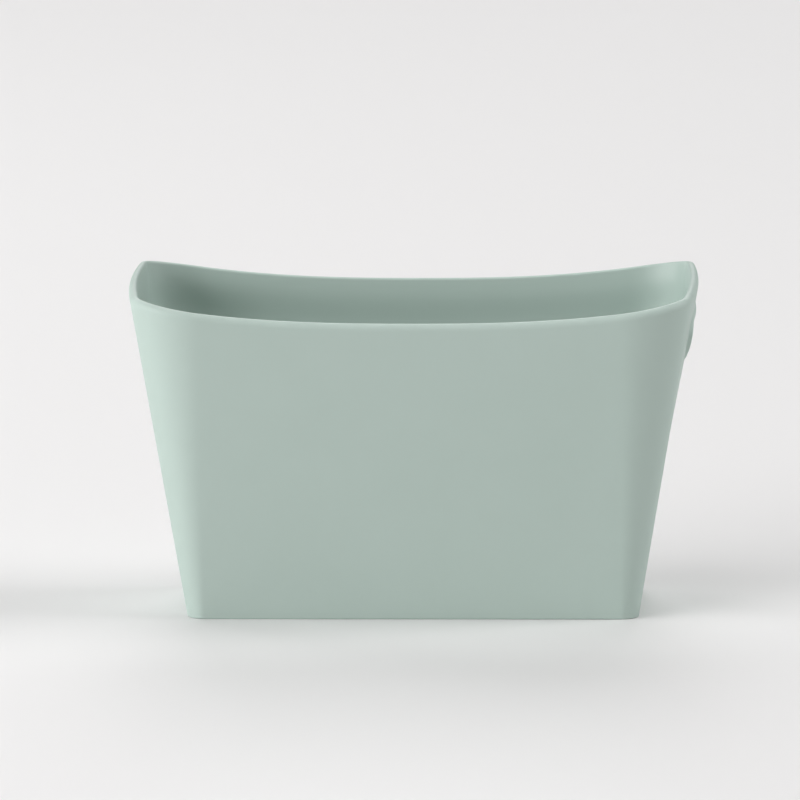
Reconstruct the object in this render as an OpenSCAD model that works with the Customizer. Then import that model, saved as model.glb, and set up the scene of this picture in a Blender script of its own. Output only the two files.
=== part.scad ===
// Tapered storage tub with a dipping rim and a hand slot in each end, the right one collared.
// Millimetres. Origin on the floor under the middle of the tub, +Z up, +X to its right end.
// The real tub is one moulding: each module below is one named region of its shell.

/* [Overall size] */
// Width over the rim at the middle of its two ends
top_w = 383; // [323:5:463]
// Depth over the rim, at the height of the rim's ends
top_d = 200; // [180:5:280]
// Height of the rim at its two ends
end_h = 222; // [190:2:300]
// How far every wall leans out over that height
flare = 37.5; // [30:0.5:44]
// How far the rim bows out at the middle of each end
end_bow = 3; // [0.5:0.5:4.5]
// How much lower the rim lies at the middle of the front and back
rim_dip = 16; // [0:1:30]
// How late the rim turns up towards its ends, where 2 is a parabola
rim_power = 3; // [2:0.1:4]

/* [Shell] */
// Thickness of the walls
wall_t = 3; // [2:0.25:4]
// Thickness of the floor panel
floor_t = 3; // [2:0.25:5]
// Height of the floor panel's underside above the ring that the tub stands on
foot_h = 1; // [0.5:0.25:3]
// Radius of the upright corners where the tub stands
base_r = 11; // [8:0.5:18]

/* [Rim bead] */
// Thickness of the bead along the rim
bead_t = 6; // [4.5:0.5:8]
// Height of the bead below the rim's edge
bead_h = 9; // [5:0.5:12]

/* [Hand slots] */
// Length of the slot along the end wall
slot_w = 76; // [60:1:84]
// Height of the slot
slot_h = 22; // [18:1:26]
// Radius of the slot's corners
slot_r = 9; // [5:0.5:9]
// Distance from the rim's edge down to the slot
slot_drop = 24; // [18:1:30]

/* [Slot collar] */
// Width of the raised collar round the right slot
collar_w = 4.5; // [3:0.5:5]
// How far the collar's curved face stands off the wall at its fullest
collar_proud = 5; // [3:0.25:8]
// Height above the collar's lower edge over which that curved face runs
collar_sweep = 45; // [38:1:60]

/* [Hidden] */

$fn = 192;
// Run of every cut past what it cuts
overrun = 5;
// Steps of the rim's curve from one end to the other
rim_steps = 32;

// Outward lean of every wall, as a run over rise
lean = flare / end_h;
slant = atan(lean);
// The upright corners are cones on these axes, so their radius grows with the same lean
corner_x = top_w / 2 - end_bow - flare - base_r;
corner_y = top_d / 2 - flare - base_r;
// Top of the slot and foot of its collar
slot_top = end_h - slot_drop;
collar_foot = slot_top - slot_h - collar_w;

// Plastic's colour
tub_colour = [0.60, 0.71, 0.66];
// The same plastic, a little darker, so that the regions can be told apart
trim_colour = [0.53, 0.65, 0.60];

// Distance of the outer face from the corner axes at height z
function face(z) = base_r + z * lean;

// Radius of the arc that stands proud of a chord
function arc_r(chord, proud) = (chord * chord / 4 + proud * proud) / (2 * proud);

// Height of the rim's edge at distance x from the middle
function rim_z(x) = end_h - rim_dip + rim_dip * pow(abs(x) / (top_w / 2), rim_power);

// Points of the rim's curve, lowered by drop, from left to right
function rim_line(drop) = [
    for (i = [0 : rim_steps])
        let (x = (top_w / 2 + overrun) * (2 * i / rim_steps - 1))
        [x, rim_z(x) - drop]
];

// Cross-section of a wall of thickness t from height low to height high
module section(t, low, high) {
    polygon([
        [face(low) - t, low], [face(low), low],
        [face(high), high], [face(high) - t, high]
    ]);
}

// Cross-section run straight along the side that faces the angle turn
module straight(turn, axis_off, length) {
    rotate([0, 0, turn])
        translate([axis_off, length / 2, 0])
            rotate([90, 0, 0])
                linear_extrude(length) children();
}

// Cross-section turned round the corner that starts at the angle turn
module quarter(turn, sx, sy) {
    translate([sx * corner_x, sy * corner_y, 0])
        rotate([0, 0, turn])
            rotate_extrude(angle = 90) children();
}

// Cross-section carried along an arc that bows out from corner to corner, on the right
module bowed() {
    // The arc's outer face meets the corners' faces at the height of the rim's ends
    bow_r = arc_r(2 * corner_y, end_bow) - face(end_h);
    half = asin((corner_y + overrun) / bow_r);
    intersection() {
        translate([corner_x + end_bow - bow_r, 0, 0])
            rotate([0, 0, -half])
                rotate_extrude(angle = 2 * half)
                    translate([bow_r, 0]) children();
        translate([0, -corner_y, 0])
            cube([top_w, 2 * corner_y, end_h + 2 * overrun]);
    }
}

// Cross-section carried all the way round the tub
module all_round() {
    for (turn = [0, 180]) straight(turn, corner_x, 2 * corner_y) children();
    for (turn = [90, 270]) straight(turn, corner_y, 2 * corner_x) children();
    quarter(0, 1, 1) children();
    quarter(90, -1, 1) children();
    quarter(180, -1, -1) children();
    quarter(270, 1, -1) children();
}

// Block with the rim's curve, lowered by drop, as its top
module under_rim(drop) {
    line = rim_line(drop);
    reach = top_w / 2 + overrun;
    translate([0, top_d / 2 + overrun, 0])
        rotate([90, 0, 0])
            linear_extrude(top_d + 2 * overrun)
                polygon(concat([[reach, -overrun], [-reach, -overrun]], line));
}

// Rounded outline of the slot, grown by grow, run outwards along X from the start
module slot_bar(grow, start, length) {
    w = slot_w + 2 * grow;
    h = slot_h + 2 * grow;
    r = slot_r + grow;
    translate([start, 0, slot_top - slot_h / 2])
        rotate([90, 0, 90])
            linear_extrude(length)
                union() {
                    square([w - 2 * r, h], center = true);
                    square([w, h - 2 * r], center = true);
                    for (sx = [-1, 1], sy = [-1, 1])
                        translate([sx * (w / 2 - r), sy * (h / 2 - r)]) circle(r);
                }
}

// Wall below the bead
module wall() {
    section(wall_t, 0, end_h - bead_h + overrun);
}

// Bead, tall enough for every height of the rim
module bead() {
    section(bead_t, end_h - rim_dip - bead_h - overrun, end_h + overrun);
}

// What lies between the rim's edge and the foot of the bead
module rim_band() {
    difference() {
        intersection() {
            union() children();
            under_rim(0);
        }
        under_rim(bead_h);
    }
}

// Bowed bead over the end wall and round both its corners, on the right
module end_rim_bead() {
    rim_band() {
        bowed() bead();
        quarter(0, 1, 1) bead();
        quarter(270, 1, -1) bead();
    }
}

// End wall with its slot, on the right
module end_wall() {
    difference() {
        intersection() {
            straight(0, corner_x, 2 * corner_y) wall();
            under_rim(bead_h);
        }
        slot_bar(0, corner_x, top_w / 2 - corner_x + overrun);
    }
}

// Place of an axis that lies depth behind the right wall's face, at the middle of the collar's bulge
module behind_face(depth) {
    mid_z = collar_foot + collar_sweep / 2;
    translate([corner_x + face(mid_z) - depth * cos(slant), 0, mid_z + depth * sin(slant)])
        children();
}

// Raised collar round the right slot: a ring whose face bulges both upwards and along the wall
module slot_collar() {
    reach = top_w / 2 - corner_x + collar_proud + overrun;
    run = slot_w + 2 * collar_w + 2 * overrun;
    up_r = arc_r(collar_sweep / cos(slant), collar_proud);
    along_r = arc_r(run, collar_proud);
    difference() {
        intersection() {
            slot_bar(collar_w, corner_x, reach);
            behind_face(up_r - collar_proud)
                rotate([90, 0, 0]) cylinder(r = up_r, h = run, center = true);
            behind_face(along_r - collar_proud)
                rotate([0, slant, 0]) cylinder(r = along_r, h = end_h, center = true);
        }
        slot_bar(0, corner_x - overrun, reach + 2 * overrun);
        // What lies inside the wall's outer face belongs to the wall
        straight(0, corner_x, 2 * corner_y + 2 * overrun)
            section(top_w, -overrun, end_h + overrun);
    }
}

module base_panel() {
    top = foot_h + floor_t;
    color(tub_colour)
        union() {
            translate([-corner_x, -corner_y, foot_h])
                cube([2 * corner_x, 2 * corner_y, floor_t]);
            all_round()
                polygon([
                    [0, foot_h], [face(foot_h) - wall_t, foot_h],
                    [face(top) - wall_t, top], [0, top]
                ]);
        }
}

module long_wall(turn) {
    color(tub_colour)
        intersection() {
            straight(turn, corner_y, 2 * corner_x) wall();
            under_rim(bead_h);
        }
}

module front_wall() long_wall(270);

module back_wall() long_wall(90);

module left_wall() color(tub_colour) mirror([1, 0, 0]) end_wall();

module right_wall() color(tub_colour) end_wall();

module corner(turn, sx, sy) {
    color(trim_colour)
        intersection() {
            quarter(turn, sx, sy) wall();
            under_rim(bead_h);
        }
}

module front_left_corner() corner(180, -1, -1);

module front_right_corner() corner(270, 1, -1);

module back_left_corner() corner(90, -1, 1);

module back_right_corner() corner(0, 1, 1);

module long_rim_bead(turn) {
    color(trim_colour)
        rim_band() straight(turn, corner_y, 2 * corner_x) bead();
}

module front_rim_bead() long_rim_bead(270);

module back_rim_bead() long_rim_bead(90);

module left_rim_bead() color(trim_colour) mirror([1, 0, 0]) end_rim_bead();

module right_rim_bead() color(trim_colour) end_rim_bead();

module right_slot_collar() color(trim_colour) slot_collar();

base_panel();
front_wall();
back_wall();
left_wall();
right_wall();
front_left_corner();
front_right_corner();
back_left_corner();
back_right_corner();
front_rim_bead();
back_rim_bead();
left_rim_bead();
right_rim_bead();
right_slot_collar();
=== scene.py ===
# %% [markdown]
# # A tapered storage tub with a dipping rim
# This lesson rebuilds one moulded plastic tub in Blender. The real one is a single
# moulding: drafted walls, upright corners that open out towards the rim, a thick soft rim
# that dips along the front and back, ends that bow out a little, and a hand slot in each
# end, of which the right one has a raised collar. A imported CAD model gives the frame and
# most of the sizes. It is loaded first and never moved. What is built here is one closed
# skin that takes its place, with the rounded edges and the satin finish that the plain
# solids lack.

# %% Load the CAD model
import bpy
import math
import numpy as np
from mathutils import Euler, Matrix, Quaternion, Vector


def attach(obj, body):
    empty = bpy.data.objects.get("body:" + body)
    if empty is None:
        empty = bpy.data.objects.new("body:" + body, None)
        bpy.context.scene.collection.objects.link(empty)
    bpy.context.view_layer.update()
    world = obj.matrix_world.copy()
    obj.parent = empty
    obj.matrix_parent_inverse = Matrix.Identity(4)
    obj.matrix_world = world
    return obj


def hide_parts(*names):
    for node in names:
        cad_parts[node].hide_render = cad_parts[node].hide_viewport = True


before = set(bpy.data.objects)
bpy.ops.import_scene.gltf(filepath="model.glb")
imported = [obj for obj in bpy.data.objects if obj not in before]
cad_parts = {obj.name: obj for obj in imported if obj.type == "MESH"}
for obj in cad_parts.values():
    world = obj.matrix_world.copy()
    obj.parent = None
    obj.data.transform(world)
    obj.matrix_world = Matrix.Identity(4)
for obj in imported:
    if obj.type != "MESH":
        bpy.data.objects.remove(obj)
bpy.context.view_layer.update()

# %% [markdown]
# ## The camera
# The photograph was taken from a long way off with a long lens, a little above the rim.
# The camera could be aimed at the tub by a constraint, but a plain position and three
# angles keep the same picture every time. The numbers come from matching the tub's edges.
# The edges fit a little better from farther off still, but then a camera that is moved
# round the tub would have to stand beyond its own far clip, and would see nothing.

# %% Camera
MM = 0.001                          # the CAD is in millimetres, Blender in metres
IMAGE_PX = 800                      # width and height of the photograph
FOCAL_PX = 25000                    # focal length, as pixels of that image
SENSOR = 36.0                       # sensor width in millimetres
RIM_MIDDLE = 205.3 * MM             # height of the point that is placed in the picture
REACH = FOCAL_PX / 1.4921 * MM      # distance to that point, which shows 1.4921 pixels a mm
ABOVE = 0.1663                      # angle of the view above the horizon, in radians
ASIDE = 0.0300                      # angle of the view to the right of straight on
RIM_UP_PX = 98.6                    # how far above the image's middle that point shows
ROLL = -0.0043                      # how far the camera leans
SIDESTEP = -9.70 * MM               # how far it stands to the side of that line

camera_data = bpy.data.cameras.new("studio_camera")
camera_data.sensor_width = SENSOR
camera_data.lens = SENSOR * FOCAL_PX / IMAGE_PX
camera_data.clip_start, camera_data.clip_end = 0.1, 100.0
camera = bpy.data.objects.new("studio_camera", camera_data)
bpy.context.scene.collection.objects.link(camera)
back_off = REACH * math.cos(ABOVE)
camera.location = (
    SIDESTEP * math.cos(ASIDE) + back_off * math.sin(ASIDE),
    SIDESTEP * math.sin(ASIDE) - back_off * math.cos(ASIDE),
    RIM_MIDDLE + REACH * math.sin(ABOVE),
)
tilt = ABOVE + math.atan(RIM_UP_PX / FOCAL_PX)
aim = Euler((math.pi / 2 - tilt, 0.0, ASIDE)).to_quaternion()
camera.rotation_euler = (aim @ Quaternion((0.0, 0.0, 1.0), ROLL)).to_euler()
bpy.context.scene.camera = camera
print("camera at", [round(c, 3) for c in camera.location], "lens", camera_data.lens)

# %% [markdown]
# ## Sizes
# The first block holds the CAD source's own values, in millimetres. The second belongs to
# the skin alone, whose corners and rim curve follow the photograph more closely than the
# solids do.

# %% Named sizes
TOP_W, TOP_D = 383.0, 200.0         # over the rim, and over the middle of its ends
END_BOW = 3.0                       # how far the rim's ends bow out
END_H, FLARE, BASE_R = 222.0, 37.5, 11.0
WALL_T, FLOOR_T, FOOT_H = 3.0, 3.0, 1.0
BEAD_T = 6.0
SLOT_W, SLOT_H, SLOT_R, SLOT_DROP = 76.0, 22.0, 9.0, 24.0
COLLAR_W = 4.5

SKIN_FOOT_R, SKIN_RIM_R = 12.0, 31.0  # corner radius across the ends, at the foot and the rim
CORNER_STRETCH = 14.0               # how much longer the corners run along the front at the rim
ROUND_UP_TO = 5.0                   # the height up to which they are true rounds
SKIN_MID_H, SKIN_END_H = 205.7, 221.0  # height of the rim at the middle and at its ends
SKIN_POWER = 2.6                    # how late it turns up in between

LEAN = FLARE / END_H                # how far a wall leans out for each millimetre up
CORNER_X = TOP_W / 2 - END_BOW - FLARE - BASE_R
CORNER_Y = TOP_D / 2 - FLARE - BASE_R
SLOT_TOP = END_H - SLOT_DROP
SLOT_MID = SLOT_TOP - SLOT_H / 2
COLLAR_FOOT = SLOT_TOP - SLOT_H - COLLAR_W
print("lean", round(LEAN, 4), "corner axes at", CORNER_X, CORNER_Y)


def face(z):
    """Distance of the outer face from the corner axes: the foot's radius plus z times the lean."""
    return BASE_R + z * LEAN


def corner_radius(z):
    """Radius of the skin's corners at height z: it grows evenly from the foot's to the rim's."""
    return SKIN_FOOT_R + (SKIN_RIM_R - SKIN_FOOT_R) * z / END_H


def slide(theta, z):
    """How far a corner's start stands from the axis next to the end, along x and along y.

    The corner is a quarter ellipse. Its point whose normal has the direction theta, less the
    short radius times that direction, is the start.
    """
    short = corner_radius(z)
    long = short + CORNER_STRETCH * np.clip((z - ROUND_UP_TO) / (END_H - ROUND_UP_TO), 0.0, 1.0)
    t = np.arctan2(short * np.sin(theta), long * np.cos(theta))
    return long * (np.cos(t) - 1) + short * (1 - np.cos(theta)), short * (np.sin(t) - np.sin(theta))


def axis_shift(z):
    """How far the skin's corner axes stand outside the CAD's, so that the walls stay in place."""
    return face(z) - corner_radius(z)


def rim_height(x):
    """Height of the rim: its middle height plus its rise times a power of x over half the width."""
    return SKIN_MID_H + (SKIN_END_H - SKIN_MID_H) * (np.abs(x) / (TOP_W / 2)) ** SKIN_POWER


def smooth(t):
    """A ramp from 0 to 1 that starts and ends level: 3 t squared minus 2 t cubed."""
    t = np.clip(t, 0.0, 1.0)
    return t * t * (3 - 2 * t)


# %% [markdown]
# ## The way round the tub
# Seen from above, the tub is a small rectangle that is swept outwards: every point of the
# skin lies on a line that starts on that rectangle and runs out along a level direction.
# On a straight side the start moves and the direction stays. On a corner the direction
# turns. At the foot the start stays put meanwhile, which makes a true round. Higher up it
# slides, so that the corner becomes a quarter ellipse, longer along the front and back than
# across the end. Stations are packed closer beside each corner, so that the shading doesn't
# smear from the corner into the flat wall. The corners open out more slowly than the walls
# lean, so the rectangle grows a little with the height, and the walls stay where they are.
#
# The ends aren't quite flat: they are straight at the foot and bow out towards the rim.
# Pushing the finished wall out would leave a crease at each corner. So the straight end is
# bent into an arc from corner to corner, and the corners turn a little less to meet it.

# %% Stations round the tub
BOW_FROM, BOW_FULL = 90.0, 218.0    # heights where the ends start to bow and bow in full
SLOT_PATCH_Y = 49.0                 # half width of the area of the end wall round a slot
PATCH_LOW, PATCH_HIGH = 165.0, 209.0  # and its height
PATCH_COLS, PATCH_ROWS = 48, 22
CORNER_STEPS = 28


def eased_line(half, steps, edge=1.2):
    """Positions from -half to half: even steps, with one more close to each end."""
    inner = np.linspace(-half + edge, half - edge, steps)
    return np.concatenate([[-half], inner, [half]])


long_run = eased_line(CORNER_X, 54)
end_run = np.concatenate([
    [-CORNER_Y, -CORNER_Y + 0.7],
    np.linspace(-SLOT_PATCH_Y, SLOT_PATCH_Y, PATCH_COLS + 1),
    [CORNER_Y - 0.7, CORNER_Y],
])
quarter = np.linspace(0.0, math.pi / 2, CORNER_STEPS + 1)[1:-1]


def stations():
    """Start points and directions of the stations, anticlockwise from the right wall's front end."""
    starts, angles = [], []
    for turn in range(4):
        along = end_run if turn % 2 == 0 else long_run
        out, side = (CORNER_X, CORNER_Y) if turn % 2 == 0 else (CORNER_Y, CORNER_X)
        angle = turn * math.pi / 2
        c, s = round(math.cos(angle)), round(math.sin(angle))
        starts.append(np.stack([c * out - s * along, s * out + c * along], axis=1))
        angles.append(np.full(len(along), angle))
        axis = np.array([[c * out - s * side, s * out + c * side]])
        starts.append(np.repeat(axis, len(quarter), axis=0))
        angles.append(angle + quarter)
    return np.concatenate(starts), np.concatenate(angles)


def bow_at(h):
    """How far the ends bow out at height h: a smooth ramp up to the rim's bow."""
    return END_BOW * smooth((h - BOW_FROM) / (BOW_FULL - BOW_FROM))


def bend(x, y, turn, z, bow):
    """Start and direction at height z of a station, from those on the plain rectangle.

    The rectangle grows by the axes' shift. The arc's radius is (half width squared + bow
    squared) / (2 bow). A start at y moves to the angle y / half width of the arc's half
    angle, and directions shrink towards it. A corner's start slides, turned as its direction is.
    """
    side = np.where(x < 0, -1.0, 1.0)
    some = bow > 0
    wide, deep = CORNER_X + axis_shift(z), CORNER_Y + axis_shift(z)
    radius = (deep ** 2 + bow ** 2) / (2 * np.where(some, bow, 1.0))
    half = np.where(some, np.arcsin(deep / np.where(some, radius, deep)), 0.0)
    along = y / CORNER_Y * half
    seen = np.where(side < 0, math.pi - turn, turn)
    seen = (seen + math.pi) % (2 * math.pi) - math.pi
    to = seen * (1 - 2 * half / math.pi) + along
    push = np.where(some, radius * np.cos(along) - (radius - bow), 0.0)
    level = np.where(some, radius * np.sin(along), y * deep / CORNER_Y)
    theta = np.abs(seen)
    slide_x, slide_y = slide(theta, z)
    turned_by = half * (1 - 2 * theta / math.pi)
    more_x = slide_x * np.cos(turned_by) - slide_y * np.sin(turned_by)
    more_y = slide_x * np.sin(turned_by) + slide_y * np.cos(turned_by)
    start_x = x / CORNER_X * (wide + more_x) + side * push
    return start_x, level + np.sign(y) * more_y, side * np.cos(to), np.sin(to)


start, angle = stations()
print("stations round the tub:", len(start), "bow at half height:", round(float(bow_at(END_H / 2)), 2))

# %% [markdown]
# ## The profile
# Going up the inside, over the rim and down the outside, the wall's section is one line.
# Each of its points has a distance from the outer face, a height, and a share that says
# how much it rises and falls with the rim: 0 at the floor, 1 at the rim. The wall is 3 mm
# thick and fills out to 6 mm under the rim. The rim is a soft shoulder outside and a
# tighter edge inside, which is what gives the photograph its bright thin line.

# %% Wall profile
EDGE_R = 1.3                        # rounding of the rim's inner edge
SHOULDER_OUT, SHOULDER_DOWN = 4.2, 5.2  # rounding of the rim's outer edge
THICKEN = 34.0                      # how far below the rim the wall starts to fill out
FULL_BELOW = 8.0                    # how far below the rim it has its full thickness
INNER_FILLET = 4.0                  # rounding between the floor and the wall
FOOT_R = 0.9                        # rounding of the foot's outer edge
FOLLOW_FROM = 110.0                 # the height above which points start to follow the rim
FOLLOW_BELOW = 10.0                 # how far below the rim they follow it in full


def thickness(z):
    """Wall thickness at height z of the end wall: the wall's, then a smooth ramp to the bead's."""
    return WALL_T + (BEAD_T - WALL_T) * smooth((z - (END_H - THICKEN)) / (THICKEN - FULL_BELOW))


def arc(count, first, last):
    """Angles of an arc, in radians, with both of its ends."""
    return np.linspace(math.radians(first), math.radians(last), count)


patch_heights = np.linspace(PATCH_LOW, PATCH_HIGH, PATCH_ROWS + 1)
wall_heights = np.concatenate([
    [11.0, 16.0], np.linspace(24.0, 159.0, 14), patch_heights, [213.0, 214.5],
])


def profile():
    """Rows of (distance from the outer face or axis, height, whether it is from the outer face)."""
    top = FOOT_H + FLOOR_T
    rows = []
    # The floor, from the corner axes out to the fillet, whose centre is a radius off the wall
    centre_h = top + INNER_FILLET
    centre_d = corner_radius(centre_h) - WALL_T - INNER_FILLET * math.hypot(1.0, LEAN)
    flat = np.linspace(0.0, centre_d, 4)
    rows += [(d, top, 0) for d in flat]
    # The fillet up to the inner wall
    turn = arc(8, -90, -math.degrees(math.atan(LEAN)))[1:]
    inner_d = centre_d + INNER_FILLET * np.cos(turn)
    inner_h = centre_h + INNER_FILLET * np.sin(turn)
    rows += [(d - corner_radius(h), h, 1) for d, h in zip(inner_d, inner_h)]
    # The inner wall
    rows += [(-thickness(h), h, 1) for h in wall_heights]
    rows += [(-BEAD_T, h, 1) for h in (217.0, END_H - EDGE_R - 0.3)]
    # Over the rim
    edge = arc(7, 180, 90)
    rows += [(-BEAD_T + EDGE_R + EDGE_R * math.cos(a), END_H - EDGE_R + EDGE_R * math.sin(a), 1)
             for a in edge]
    shoulder = arc(17, 90, 0)
    rows += [(-SHOULDER_OUT + SHOULDER_OUT * math.cos(a),
              END_H - SHOULDER_DOWN + SHOULDER_DOWN * math.sin(a), 1) for a in shoulder]
    # Down the outer wall
    rows += [(0.0, h, 1) for h in wall_heights[::-1]]
    rows += [(0.0, h, 1) for h in (6.0, FOOT_R + 0.5)]
    # The foot
    foot = arc(7, 0, -90)
    rows += [(-FOOT_R + FOOT_R * math.cos(a), FOOT_R + FOOT_R * math.sin(a), 1) for a in foot]
    rows += [(-WALL_T + 0.4, 0.0, 1), (-WALL_T, 0.4, 1), (-WALL_T, FOOT_H, 1)]
    # The underside, back to the corner axes
    under = corner_radius(FOOT_H) - WALL_T
    rows += [(d, FOOT_H, 0) for d in (under - 0.6, under / 2, 0.0)]
    return np.array(rows)


section = profile()
offset, height, on_face = section[:, 0], section[:, 1], section[:, 2] > 0.5
print("points in the profile:", len(section))

# %% [markdown]
# ## The skin as a grid
# Every station carries the same profile, so the skin is a grid: stations one way, profile
# points the other. The rim's height at a station follows from where its own outer face
# meets the rim's curve, and since the face leans, that takes a few rounds of trying the
# last height and correcting it.

# %% Skin points
RIM_ROUNDS = 6                      # rounds of correcting the rim's height


def rim_at(x, y, turn):
    """Height of the rim at a station: the curve's height where the outer face reaches it."""
    rim = np.full(np.broadcast(x, y, turn).shape, END_H)
    for _ in range(RIM_ROUNDS):
        from_x, _, out_x, _ = bend(x, y, turn, rim, np.float64(END_BOW))
        rim = rim_height(from_x + out_x * corner_radius(rim))
    return rim


def on_skin(x, y, turn, h, away, from_face=True):
    """Points of the skin: the station's start plus its direction times the distance out.

    h is the height before the rim's dip, which lowers it by a share that grows from
    FOLLOW_FROM to just below the rim. away is counted from the outer face or the axis.
    """
    share = smooth((h - FOLLOW_FROM) / (END_H - FOLLOW_BELOW - FOLLOW_FROM))
    z = h + share * (rim_at(x, y, turn) - END_H)
    x, y, out_x, out_y = bend(x, y, turn, z, bow_at(h))
    out = away + np.where(from_face, corner_radius(z), 0.0)
    return np.stack([x + out_x * out, y + out_y * out, z + 0 * out], axis=-1)


skin = on_skin(start[:, :1], start[:, 1:], angle[:, None], height[None], offset[None], on_face[None])
print("rim from", round(skin[:, :, 2].max(), 2), "down to",
      round(skin[:, :, 2].max(axis=1).min(), 2), "mm")


def quads(index, closed=False):
    """Faces of a grid of vertex numbers: each cell's four corners, in the order that faces outwards."""
    nxt = np.roll(index, -1, axis=0) if closed else index[1:]
    here = index if closed else index[:-1]
    return np.stack([here[:, :-1], here[:, 1:], nxt[:, 1:], nxt[:, :-1]], axis=2)


# %% [markdown]
# ## The hand slots
# A boolean would cut the slots, but it leaves ragged edges that can't be rounded well.
# Here each slot is a tube of rings instead. The first ring is a rectangle of the inner
# wall's own grid, the last is the same rectangle on the outer wall. Between them the rings
# close in on the slot, turn round its inner edge, pass through the wall, turn over the lip
# and run down to the wall again. The right slot's lip stands on a raised collar, whose face
# bulges upwards and along the wall; the left one lies flush. The grid's cells inside the
# rectangles are left out, and the tubes take their place, so the tub stays one closed skin.

# %% Slot outline
INNER_LIP, OUTER_LIP = 1.2, 1.5     # rounding of the slot's edge, inside and outside
COLLAR_EDGE, COLLAR_TOE = 1.3, 0.8  # rounding of the collar's outer edge, and its toe on the wall
COLLAR_PROUD = 3.2                  # how far its face stands off the bowed wall at its fullest
COLLAR_SWEEP = 33.0                 # height over which that face bulges, from the collar's foot
COLLAR_RUN = 200.0                  # and the length along the wall, longer than the collar


def bulge(y, z):
    """How far the collar stands off the wall: two parabolas, over its sweep and over its run."""
    up = (z - COLLAR_FOOT - COLLAR_SWEEP / 2) / (COLLAR_SWEEP / 2)
    along = y / (COLLAR_RUN / 2)
    return COLLAR_PROUD * np.clip(1 - up * up, 0.0, 1.0) * np.clip(1 - along * along, 0.0, 1.0)


def outline_stations():
    """Core points and angles round the slot, as many on each side as the grid's rectangle has."""
    eighth = SLOT_R * math.pi / 4
    wide, tall = SLOT_W / 2 - SLOT_R, SLOT_H / 2 - SLOT_R
    steps = [eighth, 2 * wide, eighth, eighth, 2 * tall, eighth] * 2
    knots = np.concatenate([[0.0], np.cumsum(steps)])
    core_y = np.array([-1, -1, 1, 1, 1, 1, 1, 1, -1, -1, -1, -1, -1]) * wide
    core_z = np.array([-1, -1, -1, -1, -1, 1, 1, 1, 1, 1, 1, -1, -1]) * tall
    turned = np.radians([-135, -90, -90, -45, 0, 0, 45, 90, 90, 135, 180, 180, 225])
    along = np.concatenate([
        np.linspace(knots[0], knots[3], PATCH_COLS + 1)[:-1],
        np.linspace(knots[3], knots[6], PATCH_ROWS + 1)[:-1],
        np.linspace(knots[6], knots[9], PATCH_COLS + 1)[:-1],
        np.linspace(knots[9], knots[12], PATCH_ROWS + 1)[:-1],
    ])
    return [np.interp(along, knots, values) for values in (core_y, core_z, turned)]


core_y, core_z, turned = outline_stations()


def outline(grow):
    """The slot's outline, grown: core point plus direction times (corner radius plus growth).

    Its y is shrunk by as much as the stations spread at that height, so that it comes out true.
    """
    y = core_y + np.cos(turned) * (SLOT_R + grow)
    z = SLOT_MID + core_z + np.sin(turned) * (SLOT_R + grow)
    return y * CORNER_Y / (CORNER_Y + axis_shift(z)), z


def rectangle():
    """The edge of the grid's rectangle, in the outline's order: along the bottom, up, back and down."""
    ys = np.linspace(-SLOT_PATCH_Y, SLOT_PATCH_Y, PATCH_COLS + 1)
    zs = patch_heights
    y = np.concatenate([ys[:-1], np.full(PATCH_ROWS, ys[-1]), ys[:0:-1], np.full(PATCH_ROWS, ys[0])])
    z = np.concatenate([np.full(PATCH_COLS, zs[0]), zs[:-1], np.full(PATCH_COLS, zs[-1]), zs[:0:-1]])
    return y, z


edge_y, edge_z = rectangle()
print("points round a slot:", len(edge_y), "slot", SLOT_W, "by", SLOT_H, "mm")


# %% Slot rings
def closing_in(share, grow):
    """In between the rectangle's edge, at share 0, and the grown outline, at share 1."""
    y, z = outline(grow)
    return edge_y + (y - edge_y) * share, edge_z + (z - edge_z) * share


def slot_rings(proud):
    """Rings from the inner wall's rectangle through the slot to the outer one's, with their share
    of the lightening, which stands partly for wear and partly for a painted sheen on the lips.

    proud is the share of the collar's bulge: 1 with the collar, 0 for a slot that lies flush.
    """
    rings, wear_and_sheen = [], []

    def add(y, z, depth, wear_and_sheen_share):
        rings.append(on_skin(CORNER_X, y, 0.0, z, depth))
        wear_and_sheen.append(wear_and_sheen_share)

    for share in (0.0, 0.3, 0.6, 0.85):
        y, z = closing_in(share, INNER_LIP)
        add(y, z, -thickness(z), 0.0)
    for t in np.radians(np.linspace(0, 90, 7)):
        y, z = outline(INNER_LIP * (1 - math.sin(t)))
        add(y, z, -thickness(z) + INNER_LIP * (1 - math.cos(t)), 0.6)
    y, z = outline(0.0)
    low, high = -thickness(z) + INNER_LIP, proud * bulge(y, z) - OUTER_LIP
    for share in (0.15, 0.5, 0.85):
        add(y, z, low + (high - low) * share, 0.1)
    for t in np.radians(np.linspace(0, 90, 8)):
        y, z = outline(OUTER_LIP * (1 - math.cos(t)))
        add(y, z, proud * bulge(y, z) - OUTER_LIP * (1 - math.sin(t)), 0.8)
    for grow in (1.8, 2.4, COLLAR_W - COLLAR_EDGE - 0.3):
        y, z = outline(grow)
        add(y, z, proud * bulge(y, z), 0.3)
    for share in np.linspace(0, 1, 12):
        y, z = outline(COLLAR_W - COLLAR_EDGE + (COLLAR_EDGE + COLLAR_TOE) * share)
        add(y, z, proud * bulge(y, z) * (1 - smooth(share)), 0.5 * (1 - share) * proud)
    for share in (0.9, 0.5, 0.0):
        y, z = closing_in(share, COLLAR_W + COLLAR_TOE)
        add(y, z, 0.0 * z, 0.0)
    return np.stack(rings, axis=1), np.array(wear_and_sheen)


right_slot, right_wear_and_sheen = slot_rings(1.0)
left_slot, left_wear_and_sheen = slot_rings(0.0)
left_slot = left_slot * np.array([-1.0, -1.0, 1.0])    # half a turn about the tub's middle
print("rings in a slot:", right_slot.shape[1])
print("collar stands", round(float(bulge(0, SLOT_TOP)), 2), "mm proud")
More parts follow.
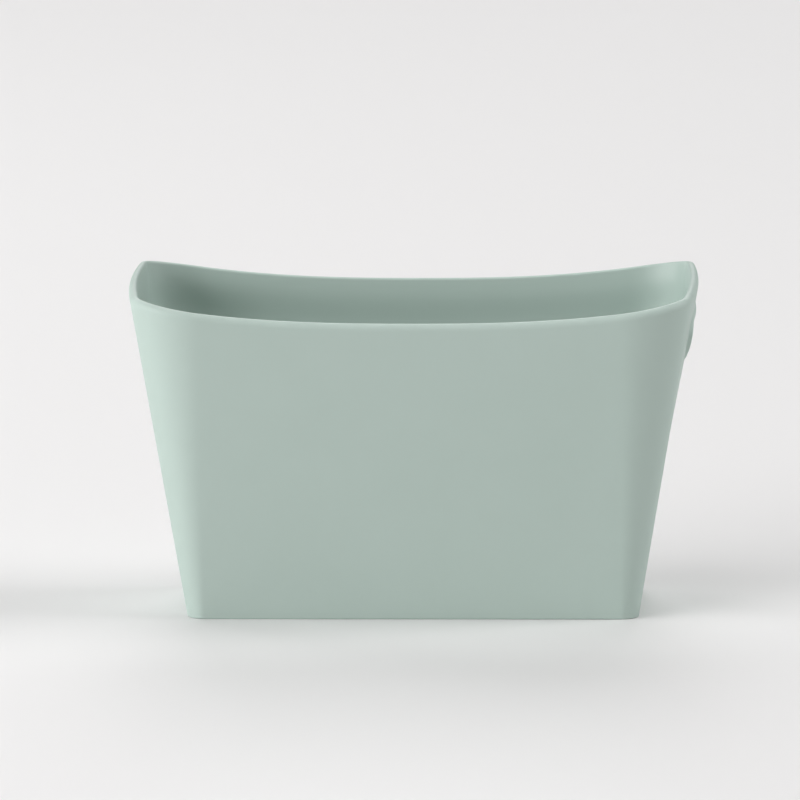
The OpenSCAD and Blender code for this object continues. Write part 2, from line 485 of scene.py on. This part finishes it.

# %% [markdown]
# ## One closed mesh
# The grid, the two slots' tubes and the middles of the floor are stacked in one list of
# points. Points that share a place become one, which also closes the corners' tips at the
# floor, and cells that shrink to a triangle lose their doubled corner. Two numbers ride on
# each point for the finish: how much it is lightened, which stands partly for wear and partly
# for a painted highlight on the rim's top, and whether it is inside.

# %% Weld everything together
TOP_POINTS_INSIDE = 3               # profile points past the highest one that count as inside
MOUTH_FROM, MOUTH_RINGS = 8, 6.0    # slot ring where inside starts to fade out, over so many rings
PATCH_FIRST = 2                     # stations of an end wall before its slot's rectangle


def wear_and_sheen_of_profile():
    """Share of lightening at each profile point: full on the rim's top and the foot, fading away from
    both. At the foot it is wear; on the rim's top it is partly wear and partly a painted highlight.
    """
    # the rim's top is lightened partly as wear and partly as a painted highlight, the foot as wear
    over_rim = np.clip((height - (END_H - SHOULDER_DOWN)) / SHOULDER_DOWN, 0, 1) ** 2
    under_foot = np.where(on_face, np.clip(1 - height / 1.5, 0, 1), 0.0)
    return np.maximum(over_rim, under_foot)


turn_over = int(np.argmax(height))          # the profile's highest point parts inside from outside
inside_of_profile = (np.arange(len(height)) <= turn_over + TOP_POINTS_INSIDE).astype(float)

count, points_each = skin.shape[:2]
skin_index = np.arange(count * points_each).reshape(count, points_each)
cells = quads(skin_index, closed=True)
row_height = np.minimum(height[:-1], height[1:])
in_patch = (row_height >= PATCH_LOW - 0.01) & (np.maximum(height[:-1], height[1:]) <= PATCH_HIGH + 0.01)
keep = np.ones(cells.shape[:2], bool)
for first in (PATCH_FIRST, PATCH_FIRST + count // 2):
    keep[first:first + PATCH_COLS] &= ~in_patch

parts = [skin.reshape(-1, 3)]
wear_and_sheen_share = [np.tile(wear_and_sheen_of_profile(), count)]
inside = [np.tile(inside_of_profile, count)]
faces = [cells[keep]]


def add_grid(points, wear_and_sheen_values, inside_values, closed):
    """Appends a grid of points and its cells to the lists."""
    before = sum(len(p) for p in parts)
    index = before + np.arange(points.shape[0] * points.shape[1]).reshape(points.shape[:2])
    parts.append(points.reshape(-1, 3))
    wear_and_sheen_share.append(np.broadcast_to(wear_and_sheen_values, points.shape[:2]).ravel())
    inside.append(np.broadcast_to(inside_values, points.shape[:2]).ravel())
    faces.append(quads(index, closed).reshape(-1, 4))


slot_inside = np.clip(1 - (np.arange(right_slot.shape[1]) - MOUTH_FROM) / MOUTH_RINGS, 0, 1)
add_grid(right_slot, right_wear_and_sheen, slot_inside, closed=True)
add_grid(left_slot, left_wear_and_sheen, slot_inside, closed=True)
across, along = np.meshgrid(end_run, long_run)
floor_top = on_skin(along, across, 0.0, FOOT_H + FLOOR_T, 0.0, False)
floor_under = on_skin(along, across, 0.0, FOOT_H, 0.0, False)
add_grid(floor_top[::-1], 0.0, 1.0, closed=False)
add_grid(floor_under, 0.0, 0.0, closed=False)

points, wear_and_sheen_share, inside = np.concatenate(parts), np.concatenate(wear_and_sheen_share), np.concatenate(inside)
faces = np.concatenate(faces)
_, chosen, welded = np.unique(np.round(points, 4), axis=0, return_index=True, return_inverse=True)
faces = welded.reshape(-1)[faces]
doubled = faces == np.roll(faces, -1, axis=1)
four = faces[doubled.sum(axis=1) == 0]
one_double = doubled.sum(axis=1) == 1
three = faces[one_double][~doubled[one_double]].reshape(-1, 3)
print("points", len(points), "welded to", len(chosen), "quads", len(four), "triangles", len(three))

# %% Put it into Blender
mesh = bpy.data.meshes.new("tub_shell")
mesh.from_pydata((points[chosen] * MM).tolist(), [], four.tolist() + three.tolist())
mesh.validate()
mesh.shade_smooth()
for name, values in (("wear_and_sheen", wear_and_sheen_share[chosen]), ("inside", inside[chosen])):
    layer = mesh.attributes.new(name, "FLOAT", "POINT")
    layer.data.foreach_set("value", values.astype(np.float32))
tub = bpy.data.objects.new("tub_shell", mesh)
bpy.context.scene.collection.objects.link(tub)
print("tub_shell:", len(mesh.polygons), "faces, size",
      [round(v * 1000, 1) for v in tub.dimensions], "mm")

# %% Is it closed, and do its faces point outwards?
corner = np.zeros(len(mesh.vertices) * 3)
mesh.vertices.foreach_get("co", corner)
corner = corner.reshape(-1, 3)
mesh.calc_loop_triangles()
tri = np.zeros(len(mesh.loop_triangles) * 3, int)
mesh.loop_triangles.foreach_get("vertices", tri)
a, b, c = corner[tri.reshape(-1, 3)].transpose(1, 0, 2)
volume = float(np.einsum("ij,ij->i", a, np.cross(b, c)).sum() / 6)
sides = np.sort(np.concatenate([tri.reshape(-1, 3)[:, [0, 1]], tri.reshape(-1, 3)[:, [1, 2]],
                                tri.reshape(-1, 3)[:, [2, 0]]]), axis=1)
_, uses = np.unique(sides, axis=0, return_counts=True)
print("plastic", round(volume * 1e6, 1), "cm3, edges not shared by two faces:", int((uses != 2).sum()))

# %% [markdown]
# ## The finish
# Satin polypropylene: a pale sage green that is coloured all through, with a fine moulded
# grain that only softens the gloss, and a faint cloudiness where the melt flowed. Effects
# that more than one material could use are node groups with their own inputs, and each
# hands out a mask or a height. The shader itself stays in the material.

# %% Node group helpers
def new_group(name, inputs, outputs):
    """An empty shader node group with the named inputs and outputs, and its two end nodes."""
    group = bpy.data.node_groups.new(name, "ShaderNodeTree")
    for label, kind, value in inputs:
        socket = group.interface.new_socket(label, in_out="INPUT", socket_type=kind)
        if value is not None:
            socket.default_value = value
    for label, kind in outputs:
        group.interface.new_socket(label, in_out="OUTPUT", socket_type=kind)
    return group, group.nodes.new("NodeGroupInput"), group.nodes.new("NodeGroupOutput")


def node(tree, kind, **values):
    """A node in the tree, with inputs set by name or number and its own settings by attribute."""
    made = tree.nodes.new(kind)
    for key, value in values.items():
        if key in made.inputs.keys():
            made.inputs[key].default_value = value
        else:
            setattr(made, key, value)
    return made


def ramp(tree, source, low, high, to_low, to_high):
    """A Map Range node that takes low..high of the source to to_low..to_high."""
    made = tree.nodes.new("ShaderNodeMapRange")
    for key, value in (("From Min", low), ("From Max", high), ("To Min", to_low), ("To Max", to_high)):
        made.inputs[key].default_value = value
    tree.links.new(source, made.inputs["Value"])
    return made.outputs["Result"]


# %% Shared effects
def moulded_grain():
    """Height of a fine spark-eroded grain: a noise less than a millimetre across."""
    group, start_node, end_node = new_group(
        "moulded_grain",
        [("Vector", "NodeSocketVector", None), ("Size", "NodeSocketFloat", 1400.0)],
        [("Height", "NodeSocketFloat")])
    link = group.links.new
    grain = node(group, "ShaderNodeTexNoise", Detail=2.0, Roughness=0.6)
    link(start_node.outputs["Vector"], grain.inputs["Vector"])
    link(start_node.outputs["Size"], grain.inputs["Scale"])
    link(grain.outputs["Fac"], end_node.inputs["Height"])
    return group


def melt_clouds():
    """Mask of soft clouds a few centimetres across, between 0 and 1."""
    group, start_node, end_node = new_group(
        "melt_clouds",
        [("Vector", "NodeSocketVector", None), ("Size", "NodeSocketFloat", 18.0)],
        [("Mask", "NodeSocketFloat")])
    link = group.links.new
    cloud = node(group, "ShaderNodeTexNoise", Detail=3.0, Roughness=0.55, Distortion=0.4)
    link(start_node.outputs["Vector"], cloud.inputs["Vector"])
    link(start_node.outputs["Size"], cloud.inputs["Scale"])
    link(ramp(group, cloud.outputs["Fac"], 0.3, 0.7, 0.0, 1.0), end_node.inputs["Mask"])
    return group


def wear_and_sheen_edge():
    """Mask of lightened edges, partly wear and partly a painted highlight: the attribute times a patchy
    noise.
    """
    group, start_node, end_node = new_group(
        "wear_and_sheen_edge",
        [("Vector", "NodeSocketVector", None), ("Wear and sheen", "NodeSocketFloat", 0.0),
         ("Size", "NodeSocketFloat", 120.0)],
        [("Mask", "NodeSocketFloat")])
    link = group.links.new
    patch = node(group, "ShaderNodeTexNoise", Detail=2.0)
    link(start_node.outputs["Vector"], patch.inputs["Vector"])
    link(start_node.outputs["Size"], patch.inputs["Scale"])
    times = node(group, "ShaderNodeMath", operation="MULTIPLY")
    link(start_node.outputs["Wear and sheen"], times.inputs[0])
    link(ramp(group, patch.outputs["Fac"], 0.35, 0.65, 0.35, 1.0), times.inputs[1])
    link(times.outputs[0], end_node.inputs["Mask"])
    return group


GRAIN, CLOUDS, WEAR_AND_SHEEN_MASK = moulded_grain(), melt_clouds(), wear_and_sheen_edge()
print("node groups:", [g.name for g in (GRAIN, CLOUDS, WEAR_AND_SHEEN_MASK)])


# %% Satin plastic
SAGE = (0.464, 0.563, 0.518, 1.0)        # body colour, linear
SAGE_CLOUD = (0.455, 0.554, 0.508, 1.0)  # the same where the melt is a little denser
# lighter sage for the edges: partly wear, partly a painted highlight along the rim's top
SAGE_WORN_AND_SHEEN = (0.540, 0.638, 0.590, 1.0)


def placed(tree, group):
    """The group as a node in the material's tree."""
    made = tree.nodes.new("ShaderNodeGroup")
    made.node_tree = group
    return made


def mixed(tree, mask, first, second):
    """Colour mix of two colours or sockets by the mask."""
    made = node(tree, "ShaderNodeMix", data_type="RGBA")
    tree.links.new(mask, made.inputs[0])
    for slot_number, value in ((6, first), (7, second)):
        if isinstance(value, tuple):
            made.inputs[slot_number].default_value = value
        else:
            tree.links.new(value, made.inputs[slot_number])
    return made.outputs[2]


def satin_plastic():
    """Sage plastic: cloudy base colour, lighter edges that are partly wear and partly a painted
    highlight, grain in the bump, smoother inside.
    """
    material = bpy.data.materials.new("sage_satin_plastic")
    material.use_nodes = True
    tree = material.node_tree
    link = tree.links.new
    shader = tree.nodes["Principled BSDF"]
    place = tree.nodes.new("ShaderNodeTexCoord").outputs["Object"]
    inside_here = node(tree, "ShaderNodeAttribute", attribute_name="inside").outputs["Fac"]
    wear_and_sheen_here = node(tree, "ShaderNodeAttribute", attribute_name="wear_and_sheen").outputs["Fac"]

    clouds = placed(tree, CLOUDS)
    link(place, clouds.inputs["Vector"])
    edges = placed(tree, WEAR_AND_SHEEN_MASK)
    link(place, edges.inputs["Vector"])
    link(wear_and_sheen_here, edges.inputs["Wear and sheen"])
    body = mixed(tree, clouds.outputs["Mask"], SAGE, SAGE_CLOUD)
    # lighten the edges towards the lighter sage: partly wear, partly a painted highlight
    faint = ramp(tree, edges.outputs["Mask"], 0.0, 1.0, 0.0, 0.35)
    link(mixed(tree, faint, body, SAGE_WORN_AND_SHEEN), shader.inputs["Base Color"])

    satin = ramp(tree, clouds.outputs["Mask"], 0.0, 1.0, 0.52, 0.57)
    smoother = ramp(tree, inside_here, 0.0, 1.0, 0.0, 0.14)
    less = node(tree, "ShaderNodeMath", operation="SUBTRACT")
    link(satin, less.inputs[0])
    link(smoother, less.inputs[1])
    link(less.outputs[0], shader.inputs["Roughness"])

    grain = placed(tree, GRAIN)
    link(place, grain.inputs["Vector"])
    bump = node(tree, "ShaderNodeBump", Strength=0.12, Distance=0.0001)
    link(grain.outputs["Height"], bump.inputs["Height"])
    link(bump.outputs["Normal"], shader.inputs["Normal"])
    shader.inputs["IOR"].default_value = 1.49
    return material


tub.data.materials.append(satin_plastic())
print("material:", tub.data.materials[0].name)

# %% [markdown]
# ## Riding on the frame
# The skin takes the place of every solid of the tub, which stay in the model for physics.

# %% Tie it to the CAD
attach(tub, "root")
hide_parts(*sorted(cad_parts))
print("stands for", len(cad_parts), "CAD nodes")

# %% [markdown]
# ## Floor and light
# A plain pale studio: one wide floor, and soft lights from the left, the right, above and
# behind. Near lights alone would leave the floor far behind the tub dark, because they fade
# with distance. So most of the light comes from far ones that don't. Of the two near ones,
# the left one adds to the gradient across the front wall, and the strip behind it reaches
# over the rim onto the inner right end. The strengths were solved to match the
# photograph's tones, so they are a match and not a record of the real studio.

# %% Floor
PAPER = (0.809, 0.798, 0.797, 1.0)        # floor colour, linear
PAPER_SHADE = (0.804, 0.793, 0.792, 1.0)  # the same where the paper is a little darker
FLOOR_HALF = 40.0                   # half the floor's width, in metres


def studio_floor():
    """A flat square of matt pale paper at height 0."""
    half = FLOOR_HALF
    flat = bpy.data.meshes.new("studio_floor")
    flat.from_pydata([(-half, -half, 0), (half, -half, 0), (half, half, 0), (-half, half, 0)],
                     [], [(0, 1, 2, 3)])
    made = bpy.data.objects.new("studio_floor", flat)
    bpy.context.scene.collection.objects.link(made)
    paper = bpy.data.materials.new("studio_paper")
    paper.use_nodes = True
    tree = paper.node_tree
    shader = tree.nodes["Principled BSDF"]
    place = tree.nodes.new("ShaderNodeTexCoord").outputs["Object"]
    clouds = placed(tree, CLOUDS)
    clouds.inputs["Size"].default_value = 0.8
    tree.links.new(place, clouds.inputs["Vector"])
    tree.links.new(mixed(tree, clouds.outputs["Mask"], PAPER, PAPER_SHADE), shader.inputs["Base Color"])
    shader.inputs["Roughness"].default_value = 0.5
    flat.materials.append(paper)
    return made


studio_floor()


# %% Lights
LIGHT_REACH = 3.2                   # distance of a near light from the tub, in metres
LIGHT_AIM = Vector((0.0, 0.0, 0.1))  # the point that every light faces


def hang(name, data, around, up):
    """Hangs a light at LIGHT_REACH from the tub and turns it to face it.

    around is its compass angle in degrees from the camera's side, to the right, and up its height angle.
    """
    a, e = math.radians(around), math.radians(up)
    way = Vector((math.sin(a) * math.cos(e), -math.cos(a) * math.cos(e), math.sin(e)))
    made = bpy.data.objects.new(name, data)
    bpy.context.scene.collection.objects.link(made)
    made.location = LIGHT_AIM + way * LIGHT_REACH
    made.rotation_mode = "QUATERNION"
    made.rotation_quaternion = (-way).to_track_quat("-Z", "Y")
    made.visible_camera = False


def near_light(name, around, up, wide, tall, strength):
    """A flat light seen from the tub under the angles wide and tall, which fades with distance.

    Its power is pi times the distance squared times the strength, in watts a square metre.
    """
    data = bpy.data.lights.new(name, "AREA")
    data.shape = "RECTANGLE"
    data.size = 2 * LIGHT_REACH * math.tan(math.radians(wide) / 2)
    data.size_y = 2 * LIGHT_REACH * math.tan(math.radians(tall) / 2)
    data.energy = math.pi * LIGHT_REACH ** 2 * strength
    hang(name, data, around, up)
    print(name, round(data.size, 2), "by", round(data.size_y, 2), "m,", round(data.energy, 1), "W")


def far_light(name, around, up, spread, strength):
    """A round light so large and far off that it doesn't fade, seen under the angle spread."""
    data = bpy.data.lights.new(name, "SUN")
    data.angle = math.radians(spread)
    data.energy = strength
    hang(name, data, around, up)
    print(name, spread, "degrees across,", strength, "W a square metre")


near_light("left_softbox", -70, 16, 30, 30, 1.37)
near_light("back_left_strip", -135, 26, 18, 50, 0.56)
far_light("front_left_glow", -45, 14, 30, 1.14)
far_light("high_left_glow", -45, 60, 40, 0.59)
far_light("top_glow", 0, 88, 40, 0.38)
far_light("right_glow", 90, 35, 36, 1.70)
far_light("back_glow", 180, 35, 36, 0.70)

sky = bpy.data.worlds.new("studio_sky")
bpy.context.scene.world = sky
sky.use_nodes = True
sky.node_tree.nodes["Background"].inputs["Color"].default_value = (1.0, 1.0, 1.0, 1.0)
sky.node_tree.nodes["Background"].inputs["Strength"].default_value = 0.02  # all but off
bpy.context.scene.view_settings.view_transform = "Standard"
